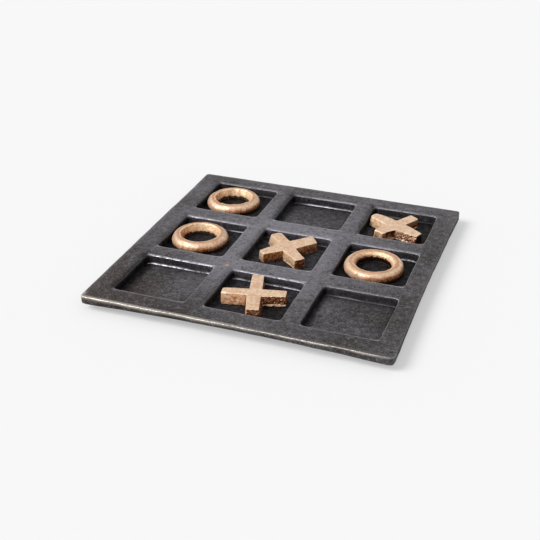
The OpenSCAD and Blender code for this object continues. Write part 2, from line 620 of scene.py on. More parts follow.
    def copy(self, name: str) -> "Workpiece":
        """Copies the piece with a mesh of its own.

        Args:
            name: Name of the copy.

        Returns:
            The copy.
        """
        twin = object.__new__(Workpiece)
        twin.thing = self.thing.copy()
        twin.thing.data = self.thing.data.copy()
        twin.thing.name = name
        twin.thing.data.name = name
        bpy.context.scene.collection.objects.link(twin.thing)
        return twin

    def hand_over(self, material: Material, slot: str, body: str, *nodes: str) -> None:
        """Paints the piece and puts it in place of its CAD nodes.

        Args:
            material: Finish of the piece.
            slot: The record's material slot; not used.
            body: CAD body that carries the piece.
            nodes: CAD nodes that the piece stands for.
        """
        self.rest()
        self.thing.data.materials.clear()
        self.thing.data.materials.append(material)
        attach(self.thing, body)
        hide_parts(*nodes)
        spans = [[vertex.co[axis] for vertex in self.thing.data.vertices] for axis in range(3)]
        size = [round((max(span) - min(span)) / MM, 1) for span in spans]
        log.info("%s: %d faces, %s mm", self.thing.name, len(self.thing.data.polygons), size)


@dataclass
class Layout:
    """What the tray shares with the pads under it, in mm."""

    pitch: Pair = (92.15, 92.6)
    shift: Pair = (1.5, 3.2)

    def middle(self, column: int, row: int) -> Vector:
        """Gives the plan middle of a pocket, both counted from the front left."""
        return Vector([self.shift[k] + (count - 1) * self.pitch[k] for k, count in enumerate((column, row))])


@dataclass(frozen=True)
class Mouth:
    """One pocket's mouth as it was cast, measured from the board's middle in mm."""

    left: float
    right: float
    front: float
    back: float

    def inside(self, at: Vector) -> tuple[float, float, float, float]:
        """Says how far a point lies inside the left, right, front and back edge in mm."""
        x, y = at.x / MM, at.y / MM
        return x - self.left, self.right - x, y - self.front, self.back - y


@dataclass
class TrayCasting(Layout):
    """The cast tray: a rimmed top plate with nine sunk pockets, all in mm.

    The tables go from the front row to the back one, and each from left to right: how soft a left mouth edge
    is, how bright the highlight painted on a back one and on the foot below it, how dark the shade painted on
    a floor.
    """

    half: float = 150.0
    corner: float = 5.0
    top: float = DECK
    floor: float = 4.5
    foot: float = 1.5
    plate: float = 4.0
    wall: float = 3.0
    lip: float = 5.0
    edge_corner: float = 8.6
    edge_middle: float = 5.4
    pocket_w: float = 73.0
    pocket_d: float = 70.8
    pocket_corner: float = 5.0
    draft: float = 1.0
    border: float = 141.0
    edge_line: float = 1.8
    shoulder: float = 2.0
    margin: float = 0.3
    cells: int = 17
    strips: tuple[int, ...] = (5, 3, 3, 5)
    worn_lip: float = 4.2
    bows: tuple[float, float, float, float] = (0.1, 1.3, 0.6, 0.15)
    soft: Table = ((1.0, 0.5, 0.1), (0.5, 0.6, 0.3), (0.4, 1.0, 0.9))
    bright: Table = ((0.95, 0.7, 0.35), (0.65, 0.4, 0.35), (0.45, 0.35, 0.35))
    feet: Table = ((1.0, 0.7, 0.5), (0.8, 0.25, 0.8), (0.8, 0.85, 0.15))
    floor_shade: Table = ((0.1, 0.85, 0.05), (0.93, 0.85, 0.93), (0.93, 0.55, 0.88))
    shadows: tuple[float, float, float] = (13.0, 10.0, 6.5)
    mouths: tuple[tuple[Mouth, ...], ...] = (
        (
            Mouth(-127.7, -53.7, -126.1, -53.7),
            Mouth(-35.6, 39.6, -125.9, -53.6),
            Mouth(57.7, 130.7, -126.4, -52.2),
        ),
        (
            Mouth(-126.5, -54.6, -34.0, 40.1),
            Mouth(-36.1, 37.8, -31.6, 39.7),
            Mouth(57.0, 129.5, -30.3, 39.8),
        ),
        (
            Mouth(-126.9, -54.3, 61.1, 131.7),
            Mouth(-35.5, 38.5, 61.6, 129.4),
            Mouth(58.3, 128.4, 60.6, 129.4),
        ),
    )

    def lines(self, axis: int, spread: float, reach: float) -> list[float]:
        """Places the grid lines across the board.

        Args:
            axis: 0 for left to right and 1 for front to back.
            spread: How far the pocket edges stand outside the mouths.
            reach: Distance of the outermost line from the middle.

        Returns:
            The places of the lines.
        """
        width = (self.pocket_w, self.pocket_d)[axis] / 2 + spread
        near = self.shoulder
        left, right = self.edge_line - reach, reach - self.edge_line
        places = [-reach, left]
        for k in range(3):
            low, high = self.middle(k, k)[axis] - width, self.middle(k, k)[axis] + width
            places += divide(left, low - near, self.strips[k])
            places += [low - near, low, low + near]
            places += divide(low + near, high - near, self.cells)
            places += [high - near, high, high + near]
            left = high + near
        return places + divide(left, right, self.strips[3]) + [right, reach]

    def edge_height(self, place: Vector) -> float:
        """Gives the height in mm of the outer edge, which arches along each side."""
        along = min(abs(place.x), abs(place.y)) / MM / (self.half - self.corner - 2)
        return self.edge_middle + (self.edge_corner - self.edge_middle) * min(1.0, along**2)

    def skin(
        self, name: str, level: float, spread: float, reach: float, depths: Sequence[float]
    ) -> Workpiece:
        """Draws one face of the casting: a sheet with nine pockets pushed down.

        Args:
            name: Name of the sheet.
            level: Height of the sheet in mm.
            spread: How far the pocket edges stand outside the mouths.
            reach: Distance of the sheet's edge from the middle.
            depths: Depth of each row of a pocket's wall, the last its floor.

        Returns:
            The sheet.
        """
        across, along = (self.lines(axis, spread, reach) for axis in (0, 1))
        steps = (len(across) - 1, len(along) - 1)
        sheet = Workpiece(
            name,
            lambda: bpy.ops.mesh.primitive_grid_add(
                x_subdivisions=steps[0], y_subdivisions=steps[1], size=1.0, location=(0, 0, level * MM)
            ),
        )
        sheet.move_points(
            lambda at, way: Vector((
                across[round((at.x + 0.5) * steps[0])] * MM,
                along[round((at.y + 0.5) * steps[1])] * MM,
                at.z,
            ))
        )
        for row in range(3):
            for column in range(3):
                self.push_pocket(sheet, row, column, spread, depths)
        return sheet

    def push_pocket(
        self, sheet: Workpiece, row: int, column: int, spread: float, depths: Sequence[float]
    ) -> None:
        """Shapes one pocket's mouth and pushes it down row by row.

        Args:
            sheet: Sheet that gets the pocket.
            row: Row from the front.
            column: Column from the left.
            spread: How far the pocket edges stand outside the mouth.
            depths: Depth of each row of the wall, the last the floor.
        """
        middle = self.middle(column, row)
        half = Vector((self.pocket_w / 2 + spread, self.pocket_d / 2 + spread))
        mouth = self.mouths[row][column]
        low = Vector((mouth.left - spread, mouth.front - spread))
        high = Vector((mouth.right + spread, mouth.back + spread))
        radius = self.pocket_corner + spread
        level = sheet.thing.data.vertices[0].co.z

        def fit(at: Vector, way: Vector) -> Vector:
            """Moves the grid's lines to the cast mouth and rounds its corners.

            Args:
                at: Place of a vertex.
                way: Its normal; not used.

            Returns:
                Its new place.
            """
            spot = at.xy / MM
            off = spot - middle
            gaps = [half[k] - abs(off[k]) for k in (0, 1)]
            if min(gaps) < -self.shoulder - 0.5 or abs(at.z - level) > TINY:
                return at
            for k in (0, 1):
                share = clip((off[k] + half[k]) / (2 * half[k]))
                spot[k] += (low[k] - middle[k] + half[k]) * (1 - share)
                spot[k] += (high[k] - middle[k] - half[k]) * share
            if abs(min(gaps)) < SLACK_MM and max(gaps) < radius:
                insets = corner_insets(gaps, radius)
                spot = Vector([high[k] - insets[k] if off[k] > 0 else low[k] + insets[k] for k in (0, 1)])
            return Vector((spot.x * MM, spot.y * MM, at.z))

        sheet.move_points(fit)
        centre = (low + high) / 2 * MM
        reach = ((high - low) / 2 + Vector((self.margin, self.margin))) * MM

        def in_mouth(at: Vector, way: Vector) -> bool:
            """Says whether a face of the sheet belongs to the mouth."""
            return abs(at.z - level) < TINY and all(abs(at[k] - centre[k]) < reach[k] for k in (0, 1))

        sheet.pick(Part.FACES, in_mouth)
        done = 0.0
        for depth in depths:
            narrow = [1 - 2 * self.draft * (depth - done) / depths[-1] / (high - low)[k] for k in (0, 1)]
            sheet.draw_out((0, 0, -(depth - done) * MM))
            sheet.scale((*narrow, 1), (*centre, 0))
            done = depth

    def rim(self, sheet: Workpiece, reach: float, radius: float, rows: Sequence[float]) -> None:
        """Turns the outer edge of a sheet down to the arched lower edge.

        Args:
            sheet: Sheet with its edge at reach.
            reach: Distance of the edge from the middle in mm.
            radius: Radius of the corners in plan in mm.
            rows: Share of the way down of each new row.
        """
        level = sheet.thing.data.vertices[0].co.z

        def round_corner(at: Vector, way: Vector) -> Vector:
            """Rounds the sheet's corners in plan.

            Args:
                at: Place of a vertex.
                way: Its normal; not used.

            Returns:
                Its new place.
            """
            gaps = [reach - abs(at.x) / MM, reach - abs(at.y) / MM]
            if min(gaps) > SLACK_MM or max(gaps) > radius:
                return at
            insets = corner_insets(gaps, radius)
            return Vector([math.copysign((reach - insets[k]) * MM, at[k]) for k in (0, 1)] + [at.z])

        if radius > 0:
            sheet.move_points(round_corner)
        sheet.pick_boundary()
        for share in rows:
            sheet.draw_out((0, 0, -0.0001))
            for vertex in bmesh.from_edit_mesh(sheet.thing.data).verts:
                if vertex.select:
                    vertex.co.z = level + ((self.top - self.edge_height(vertex.co)) * MM - level) * share
            bmesh.update_edit_mesh(sheet.thing.data)
        sheet.rest()

    def make(self, finish: Material) -> None:
        """Builds the tray and hands it over.

        Args:
            finish: Material of the casting.
        """
        upper = self.skin("board_casting", self.top, 0.0, self.half, (1.7, 4.6, 8.0, self.top - self.floor))
        upper.move_points(self.rub_down)
        self.rim(upper, self.half, self.corner, (0.26, 0.8, 1.0))
        ceiling, inner = self.top - self.plate, self.half - self.lip
        under = self.skin("board_underside", ceiling, self.wall, inner, (1.5, 5.0, ceiling - self.foot))
        self.rim(under, inner, 0.0, (0.5, 1.0))
        upper.take()
        under.thing.select_set(True)
        bpy.ops.object.join()
        upper.pick_boundary()
        bpy.ops.mesh.bridge_edge_loops()
        upper.face_outwards()
        upper.apply("SUBSURF", levels=1, render_levels=1)
        upper.move_points(self.hand_of_the_foundry)
        upper.mark_bends(1.6 * MM, 1)
        upper.rate("worn", self.wear)
        upper.rate("rub_and_highlight", self.shine)
        upper.rate("soot_and_shade", self.soot_and_shade)
        upper.rate("broad_highlight", self.broad_highlight)
        upper.smooth(75)
        upper.hand_over(finish, "blackened_casting", "tray", "board")

    def rub_down(self, at: Vector, way: Vector) -> Vector:
        """Wears the pockets' mouths round, most at the back and on soft left edges.

        Args:
            at: Place of a vertex of the clean upper skin.
            way: Its normal; not used.

        Returns:
            Its new place.
        """
        if at.z < (self.top - SLACK_MM) * MM or max(abs(at.x), abs(at.y)) > (self.border - 1) * MM:
            return at
        spot = at.copy()
        for mouths, softness in zip(self.mouths, self.soft):
            for mouth, soft in zip(mouths, softness):
                left, right, front, back = mouth.inside(at)
                inside = min(left, right, front, back)
                if inside < -self.worn_lip:
                    continue
                sides = 1.4 * ease(2.0, 0.0, back)
                sides = max(sides, (0.3 + 1.3 * soft) * ease(2.0, 0.0, left), 0.3)
                spot.z -= sides * ease(-self.worn_lip, 0.0, inside) * MM
        return spot

    def hand_of_the_foundry(self, at: Vector, way: Vector) -> Vector:
        """Gives the clean form the bows and unevenness of a sand casting.

        Args:
            at: Place of a vertex.
            way: Its normal.

        Returns:
            Its new place.
        """
        spot = at.copy()
        half = self.half * MM
        for axis in (0, 1):
            bow = self.bows[2 * axis + (at[axis] >= 0)] * MM * (1 - (at[1 - axis] / half) ** 2)
            spot[axis] -= math.copysign(bow * ease(0.86 * half, half, abs(at[axis])), at[axis])
        if at.x < -0.135:
            step = ease(0.052, 0.06, at.y) * ease(-0.13, -0.1, -at.y)
            spot.x += 0.4 * MM * step * ease(0.135, 0.149, -at.x)
        slow = noise.noise_vector(at * 38 + Vector((3.1, 7.7, 1.3)))
        quick = noise.noise_vector(at * 105 + Vector((11.0, 2.0, 5.0)))
        upright = 1 - abs(way.z)
        spot.xy += (slow.xy * 0.5 + quick.xy * 0.28) * MM * (0.35 + 0.65 * upright)
        lumps = noise.noise(at * 210) * 0.22 + noise.noise(at * 60) * 0.3
        spot -= way * (0.16 + lumps * 0.5) * MM * (0.45 + 0.75 * upright)
        return Vector((
            clip(spot.x, -half, half), clip(spot.y, -half, half), clip(spot.z, self.foot * MM, self.top * MM)
        ))

    def nearest(self, at: Vector) -> tuple[int, int]:
        """Gives the row and column of the pocket that a point belongs to."""
        column, row = (min(2, max(0, round((at[k] / MM - self.shift[k]) / self.pitch[k]) + 1)) for k in (0, 1))
        return row, column

    def wear(self, at: Vector, way: Vector) -> float:
        """Says how far an arris is rubbed bright.

        Args:
            at: Place of a vertex.
            way: Its normal.

        Returns:
            A share from 0 to 1.
        """
        outer = max(abs(at.x), abs(at.y))
        high = ease((self.top - 3.2) * MM, (self.top - 0.9) * MM, at.z)
        sloped = ease(0.06, 0.25, 1 - abs(way.z)) * ease(0.02, 0.2, way.z)
        side = 0.9 - 0.5 * ease(0.115, 0.145, at.x) if at.y < -0.14 else 0.12
        broad = (0.75 - 0.65 * ease(-0.03, 0.06, at.x)) * ease(0.1455, 0.1475, outer)
        return high * side * max(sloped * ease(0.1425, 0.146, outer), broad)

    def shine(self, at: Vector, way: Vector) -> float:
        """Says how far the pockets' arrises and the feet of their walls are rubbed bare and painted pale as
        highlights of the key light.

        Args:
            at: Place of a vertex.
            way: Its normal.

        Returns:
            A share from 0 to 1.
        """
        if max(abs(at.x), abs(at.y)) > self.border * MM or way.z < 0.2:
            return 0.0
        luck = ease(-0.4, 0.25, noise.noise(at * 27 + Vector((4.0, 9.0, 0.0))))
        sloped = ease(0.03, 0.15, 1 - way.z) * ease(0.2, 0.5, way.z)
        row, column = self.nearest(at)
        left, right, front, back = self.mouths[row][column].inside(at)
        # painted highlights: behind on the back arris, ahead on the front mouth edge, foot on the foot of the
        # back wall
        wide = 1.2 if row == 0 else 2.2
        behind = ease(-0.6, 0.2, -back) * ease(wide + 0.8, 0.6 * wide, -back)
        behind *= ease(-1.0, 3.0, left) * ease(-2.0, 1.0, right)
        behind *= self.bright[row][column] * (0.55 + 0.45 * luck)
        beside = ease(0.2, 0.6, -way.x) * sloped * max(luck, 2.2 * ease(14.0, 2.0, back))
        ahead = ease(-2.2, -1.0, -front) * ease(1.8, 0.6, -front)
        ahead *= ease(-1.0, 2.0, left) * ease(-1.0, 2.0, right) * 0.5 * (0.6 + 0.4 * luck)
        high = ease((self.top - 2.9) * MM, (self.top - 1.8) * MM, at.z)
        rise = self.floor + (2.2 if (row, column) == (0, 2) else 1.0)
        foot = self.feet[row][column] * 1.1 * sloped * ease((rise + 1.2) * MM, rise * MM, at.z)
        foot *= ease(0.12, 0.5, -way.y) * (0.2 + 0.8 * luck)
        return max(high * max(behind, ahead, 0.3 * beside), foot)

    def soot_and_shade(self, at: Vector, way: Vector) -> float:
        """Says how much painted shade a point gets: on upright faces, most on pocket walls that face away from
        the key light, less on the outer front side, along the floors' edges and about the pieces, and on the
        top beside soft left mouth edges.

        Args:
            at: Place of a vertex.
            way: Its normal.

        Returns:
            A share from 0 to 1.
        """
        upright = ease(0.35, 0.85, 1 - abs(way.z))
        if max(abs(at.x), abs(at.y)) > self.border * MM:
            return (0.12 if at.y < -self.border * MM else 0.75) * upright
        # pocket walls facing +x, away from the key light, get the most painted shade
        walls = upright * (1.0 if way.x > 0.5 else 0.6)
        walls *= 1 - 0.6 * ease(self.top - 5, self.top - 1, at.z / MM)
        if way.z < 0:
            return walls
        row, column = self.nearest(at)
        left, right, front, back = self.mouths[row][column].inside(at)
        if at.z > (self.top - 2.0) * MM:
            beside = ease(-6.5, -0.5, left) * ease(3.0, 0.5, left) * ease(-3, 6, front)
            return max(walls, 0.75 * self.soft[row][column] * beside * ease(5.0, 0.0, -back))
        # painted shadows along the floor's edges, widest beside the left wall
        near = max(
            ease(self.shadows[column], 0.0, left),
            0.7 * ease(10.0, 0.0, front),
            0.5 * ease(9.0, 0.0, right),
            0.75 * ease(8.0, 1.5, back),
        )
        sunk = ease((self.floor + 5.0) * MM, (self.floor + 1.0) * MM, at.z)
        # floors of pockets that hold pieces are painted dark as shade
        floor_shade = self.floor_shade[row][column]
        return max(walls, sunk * (floor_shade + (0.95 - floor_shade) * near))

    def broad_highlight(self, at: Vector, way: Vector) -> float:
        """Paints a broad highlight on the top, lightest about its middle, a little lighter towards the back,
        with some noise.

        Args:
            at: Place of a vertex.
            way: Its normal; not used.

        Returns:
            A share from 0 to 1.
        """
        level = ease(0.16, 0.03, Vector((at.x + 0.013, at.y - 0.002)).length)
        front = 0.12 * ease(-0.15, 0.1, at.y)
        return clip(0.07 + front + 0.78 * level + 0.28 * noise.noise(at * 22))


def shaded_side(way: Vector) -> float:
    """Says how much painted shade a side of a brass piece gets, most on sides that face right and front, away
    from the key light.
    """
    side = Vector((0.92, -0.4)).dot(Vector((way.x, way.y)))
    return ease(0.2, 0.85, 1 - way.z) * (0.06 + 0.94 * ease(-0.25, 0.75, side))


@dataclass(kw_only=True)
class BrassPiece(ABC):
    """A loose playing piece of cast brass and how it comes onto the board, all in mm."""

    node: str
    at: Pair
    seed: float
    turn: float = 0.0
    height: float = 10.5
    floor: float = 4.5
    arris: float = 0.9

    @abstractmethod
    def blank(self) -> Workpiece:
        """Models the clean piece, unturned and standing at the origin."""

    @abstractmethod
    def cast(self, at: Vector, way: Vector) -> Vector:
        """Moves a point of the clean piece to where the casting has it."""

    @abstractmethod
    def ratings(self) -> dict[str, RateRule]:
        """Gives the rule for each number that the finish reads."""

    def on_board(self, way: Vector) -> Vector:
        """Turns a direction on the piece as the piece lies on the board."""
        return Matrix.Rotation(math.radians(self.turn), 4, "Z") @ way

    def make(self, finish: Material) -> None:
        """Builds the piece and hands it over.

        Args:
            finish: Material of the piece.
        """
        piece = self.blank()
        piece.move_points(self.cast)
        piece.mark_bends(self.arris * MM, 2)
        for name, rule in self.ratings().items():
            piece.rate(name, rule)
        place = Matrix.Translation((self.at[0] * MM, self.at[1] * MM, self.floor * MM))
        piece.thing.data.transform(place @ Matrix.Rotation(math.radians(self.turn), 4, "Z"))
        piece.smooth(70)
        piece.hand_over(finish, "brass_piece", self.node, self.node)


class Arm(Enum):
    """The four arms of a cross before it is turned, by their direction in degrees."""

    RIGHT = 0
    BACK = 90
    LEFT = 180
    FRONT = 270


@dataclass(frozen=True)
class Flank:
    """A fault along one side of an arm, seen from the middle of the cross, in mm."""

    arm: Arm
    left: bool
    lean: float = 0.0
    flash: float = 0.0
    crumble: float = 0.0


@dataclass(frozen=True)
class Scoop:
    """A place at which metal is missing below the top face, in mm."""

    at: Pair
    radius: float
    depth: float

    def reach(self, at: Vector) -> float:
        """Gives a point's distance from the middle, 1 on the scoop's edge."""
        return (Vector(self.at) - at.xy / MM).length / self.radius


@dataclass(kw_only=True)
class CastCross(BrassPiece):
    """One loose cross, with the outline and faults of its own casting.

    The outline of its top face runs anticlockwise from the front corner of the right
    arm's end: three points to an arm, the last of them in the corner to the next arm.
    """

    outline: tuple[Pair, ...]
    rounded: tuple[Arm, ...] = ()
    rough: tuple[Arm, ...] = ()
    flanks: tuple[Flank, ...] = ()
    scoops: tuple[Scoop, ...] = ()
    # ends painted black as shade, facing away from the key light
    shadowed_ends: tuple[Arm, ...] = ()
    end: float = 0.8
    knob: float = 3.2
    crown: float = 0.6
    fillet: float = 1.4
    draft: float = 0.6
    swell: float = 0.4
    voxel: float = 0.45

    def blank(self) -> Workpiece:
        """Models the clean cross, unturned and standing at the origin.

        Returns:
            The cross.
        """
        tall = self.height * MM
        cross = Workpiece(
            self.node + "_casting",
            lambda: bpy.ops.mesh.primitive_circle_add(vertices=12, radius=30 * MM, fill_type="NGON"),
        )

        def lay_out(at: Vector, way: Vector) -> Vector:
            """Moves each corner of the primitive to its place on the outline."""
            x, y = self.outline[round(math.degrees(math.atan2(at.y, at.x)) / 30) % 12]
            return Vector((x * MM, y * MM, 0))

        cross.move_points(lay_out)
        cross.pick(Part.FACES, lambda at, way: True)
        cross.draw_out((0, 0, tall))
        tips = [k for k in range(12) if k % 3 != 2]
        knobs = [k for k in tips if Arm(k // 3 * 90) in self.rounded]
        ends = [k for k in tips if k not in knobs]
        for corners, radius in ((knobs, self.knob), (ends, self.end), (range(2, 12, 3), self.fillet)):
            if corners:
                spots = [Vector(self.outline[k]) * MM for k in corners]
                cross.pick(
                    Part.EDGES,
                    lambda at, run: abs(run.z) > 0.9 * tall and any((at.xy - s).length < HAIR for s in spots),
                )
                cross.round_over(radius * MM, 3)
        cross.pick(Part.EDGES, lambda at, run: at.z > tall - HAIR)
        cross.round_over(self.crown * MM, 2)
        cross.pick(Part.EDGES, lambda at, run: at.z < HAIR)
        cross.round_over(self.crown * MM, 2)
        cross.face_outwards()
        cross.apply("REMESH", mode="VOXEL", voxel_size=self.voxel * MM)
        cross.apply("SMOOTH", factor=0.5, iterations=2)
        return cross

    @staticmethod
    def ray(degrees: float) -> Vector:
        """Gives the direction at an angle in plan."""
        return Vector((math.cos(math.radians(degrees)), math.sin(math.radians(degrees)), 0))

    def along(self, at: Vector, arm: Arm) -> Pair:
        """Gives a point's distance out along an arm and to the arm's left, in mm."""
        return at.dot(self.ray(arm.value)) / MM, at.dot(self.ray(arm.value + 90)) / MM

    def end_of(self, at: Vector, way: Vector, arm: Arm) -> float:
        """Says how far a point lies on the end face of an arm, from 0 to 1."""
        facing = ease(0.3, 0.7, way.dot(self.ray(arm.value)))
        return ease(18.0, 24.0, self.along(at, arm)[0]) * facing

    def cast(self, at: Vector, way: Vector) -> Vector:
        """Moves a point of the clean cross to where the casting has it.

        Args:
            at: Place of a vertex.
            way: Its normal.

        Returns:
            Its new place.
        """
        spot = at.copy()
        flat = Vector((way.x, way.y, 0))
        rise = at.z / MM / self.height
        upright = 1 - abs(way.z)
        seed = Vector((self.seed, self.seed * 1.7, self.seed * 0.6))
        slow = noise.noise_vector(at * 95 + seed)
        coarse, quick, crumbs, fine, grit, fins = (
            noise.noise(at * pace + seed) for pace in (420, 300, 850, 800, 950, 240)
        )
        spot += flat * (self.swell + self.draft * (1 - rise)) * MM
        spot -= way * MM * (0.04 + 0.3 * slow.x * (0.35 + upright) + 0.12 * quick + 0.05 * fine)
        spot.xy += slow.yz * 0.3 * MM
        for arm in self.rounded:
            tip = ease(24.0, 33.0, self.along(at, arm)[0])
            spot.z -= tip * ease(0.5, 1.0, rise) * 0.7 * MM
        for arm in self.rough:
            crumble = 0.3 + grit * 0.4 + coarse * 0.5
            spot -= flat * self.end_of(at, way, arm) * ease(1.0, 0.9, rise) * crumble * MM
        for flank in self.flanks:
            out, side = self.along(at, flank.arm)
            if (side > 0) != flank.left:
                continue
            aside = self.ray(flank.arm.value + (90 if flank.left else -90))
            share = ease(4.0, 9.0, out) * max(0.0, aside.dot(way))
            fin = hump(0.09, 0.07, rise) * flank.flash * (1.0 + 0.8 * fins)
            lean = flank.lean * max(0.0, 1 - rise) ** 1.2
            crumb = flank.crumble * (0.3 + crumbs * 0.7 + coarse * 0.5)
            crumb *= ease(1.0, 0.88, rise) * ease(0.1, 0.25, rise)
            spot += aside * share * (lean + fin - crumb) * MM
        for scoop in self.scoops:
            hollow = max(0.0, 1 - scoop.reach(at) ** 2) * ease(1.2, 0.6, rise) * upright
            spot -= flat * scoop.depth * hollow * MM
        spot.z = clip(spot.z, 0.0, self.height * MM)
        return spot

    def roughness(self, at: Vector, way: Vector) -> float:
        """Says how crumbly the casting's skin is.

        Args:
            at: Place of a vertex on the unturned cross.
            way: Its normal.

        Returns:
            A share from 0 to 1.
        """
        share = max([0.0, *(self.end_of(at, way, arm) for arm in self.rough)])
        for flank in self.flanks:
            out, side = self.along(at, flank.arm)
            if (side > 0) == flank.left and flank.crumble > 0.3:
                share = max(share, ease(4.0, 9.0, out))
        return share * ease(0.25, 0.7, 1 - abs(way.z))

    def depth(self, at: Vector, way: Vector) -> float:
        """Says how dark a point is painted: darker towards the bottom and in scoops, and black as painted
        shade on ends that face away from the key light.

        Args:
            at: Place of a vertex on the unturned cross.
            way: Its normal.

        Returns:
            A share from 0 to 1, and up to 1.5 where the painted shade is black.
        """
        low = ease(0.85, 0.1, at.z / MM / self.height) * (1 - 0.6 * max(0.0, way.z))
        for arm in self.shadowed_ends:
            low = max(low, 1.4 * self.end_of(at, way, arm))
        for scoop in self.scoops:
            low = max(low, 0.95 * ease(1.0, 0.8, scoop.reach(at)) * ease(0.8, 0.3, way.z))
        return low

    def ratings(self) -> dict[str, RateRule]:
        """Gives the rule for each number that the finish reads.

        Returns:
            Rules by the attribute's name.
        """

        def upright(at: Vector, way: Vector) -> float:
            """Says how far a face stands upright."""
            return ease(0.2, 0.8, 1 - way.z)

        return {
            "rough_cast": self.roughness,
            # flank paints shade on sides facing away from the key light, sunlit paints light on sides facing
            # it
            "flank": lambda at, way: shaded_side(self.on_board(way)),
            "upright": upright,
            "sunlit": lambda at, way: upright(at, way) * (1 - 2 * shaded_side(self.on_board(way))),
            "low": self.depth,
        }


@dataclass(kw_only=True)
class CastRing(BrassPiece):
    """One loose ring, with the section and faults of its own casting.

    The section runs from the outermost point over the crest and down the hole,
    and then along the sole.
    """

    arris: float = 1.3
    ridged: float = 0.0
    crumbly: float = 0.0
    facets: float = 0.0
    outside: float = 59.4
    hole: float = 33.6
    crest: tuple[Pair, ...] = (
        (29.9, 2.9), (29.6, 5.2), (28.4, 7.6), (26.4, 9.4), (24.9, 10.3), (23.6, 10.6),
        (21.4, 10.7), (20.7, 10.6), (20.1, 9.9), (18.6, 7.0), (17.3, 3.8), (16.7, 0.7),
    )
    sole: tuple[Pair, ...] = ((18.0, -0.15), (21.5, -0.1), (25.5, -0.1), (29.0, 0.25))

    def blank(self) -> Workpiece:
        """Models the clean ring at the origin.

        Returns:
            The ring.
        """
        middle = (self.outside + self.hole) / 4 * MM
        thick = (self.outside - self.hole) / 4 * MM
        section = self.crest + self.sole
        count = len(section)
        ring = Workpiece(
            self.node + "_casting",
            lambda: bpy.ops.mesh.primitive_torus_add(
                major_radius=middle, minor_radius=thick, major_segments=128, minor_segments=count
            ),
        )

        def roll(at: Vector, way: Vector) -> Vector:
            """Moves each line of the primitive to its place on the section."""
            radius, rise = section[round(math.atan2(at.z, at.xy.length - middle) / math.tau * count) % count]
            return Vector((*(at.xy / at.xy.length * radius * MM), rise * MM))

        ring.move_points(roll)
        ring.apply("SUBSURF", levels=2, render_levels=2)
        return ring

    def cast(self, at: Vector, way: Vector) -> Vector:
        """Moves a point of the clean ring to where the casting has it.

        Args:
            at: Place of a vertex.
            way: Its normal.

        Returns:
            Its new place.
        """
        seed = Vector((self.seed, self.seed * 2.3, self.seed * 0.9))
        slow = noise.noise_vector(at * 60 + seed)
        quick, coarse, fine = (noise.noise(at * pace + seed) for pace in (190, 420, 520))
        spot = at - way * MM * (0.12 + 0.32 * slow.x + 0.2 * quick + 0.07 * fine)
        if self.to_hole(at, way) > 0.25:
            cut = abs(math.sin(math.atan2(at.y, at.x) * 4.5 + self.seed)) - 0.6
            spot -= way * self.facets * cut * 0.7 * MM
            under = hump(5.6, 1.4, at.z / MM) * self.broken_side(at)
            spot -= way * max(0.0, coarse + 0.1) * (0.1 + 1.1 * self.crumbly * under) * MM
        groove = math.sin((at.xy.length / MM - 19.0) * math.tau / 2.1)
        spot.z -= self.ridged * max(0.0, way.z) ** 4 * (0.5 + 0.5 * groove) * 0.3 * MM
        spot.z = clip(spot.z, 0.0, self.height * MM)
        return spot

    @staticmethod
    def to_hole(at: Vector, way: Vector) -> float:
        """Gives the share of a normal that points at the ring's middle."""
        return -Vector((at.x, at.y, 0)).normalized().dot(way)

    @staticmethod
    def broken_side(at: Vector) -> float:
        """Says how far a point lies on the side of the hole where the skin has crumbled."""
        flat = at.xy.normalized()
        return ease(-0.1, 0.4, flat.y) * ease(0.8, 0.3, flat.x)

    def inward(self, at: Vector, way: Vector) -> float:
        """Says how far a surface faces the hole, from 0 to 1."""
        return ease(0.1, 0.6, self.to_hole(at, way))

    def roughness(self, at: Vector, way: Vector) -> float:
        """Says how crumbly the casting's skin is.

        Args:
            at: Place of a vertex.
            way: Its normal.

        Returns:
            A share from 0 to 1.
        """
        inward = self.to_hole(at, way)
        under = hump(6.4, 2.0, at.z / MM) * self.broken_side(at)
        inner = ease(0.35, 0.8, inward) * (0.1 + 0.9 * self.crumbly * under)
        outer = ease(0.5, 0.9, -inward) * ease(0.5, 0.2, at.z / MM / self.height) * 0.6
        return max(inner, outer)

    def shaded(self, at: Vector, way: Vector) -> float:
        """Says how much painted shade the sides get: outside on sides that face away from the key light, and
        in the hole most on its left wall, which faces away from it.

        Args:
            at: Place of a vertex.
            way: Its normal.

        Returns:
            A share from 0 to 1.
        """
        inward = self.inward(at, way)
        inner = 0.7 * ease(-0.1, 0.8, Vector((0.93, 0.3)).dot(way.xy))
        return shaded_side(way) * (1 - inward) + inner * inward

    def depth(self, at: Vector, way: Vector) -> float:
        """Says how dark a point is painted: darker towards the bottom, more so on the hole's wall, and black
        as painted shade low on that wall, most where its skin has crumbled.

        Args:
            at: Place of a vertex.
            way: Its normal.

        Returns:
            A share from 0 to 1, and up to 1.6 where the painted shade is black.
        """
        inward = self.inward(at, way)
        height = at.z / MM / self.height + 0.1 * inward * noise.noise(at * 260)
        low = ease(0.65 - 0.2 * inward, 0.1 + 0.14 * inward, height) * (1 + 0.4 * inward)
        black = ease(6.4 + self.broken_side(at), 4.6, at.z / MM)
        return max(low, 1.6 * self.crumbly * inward * black)

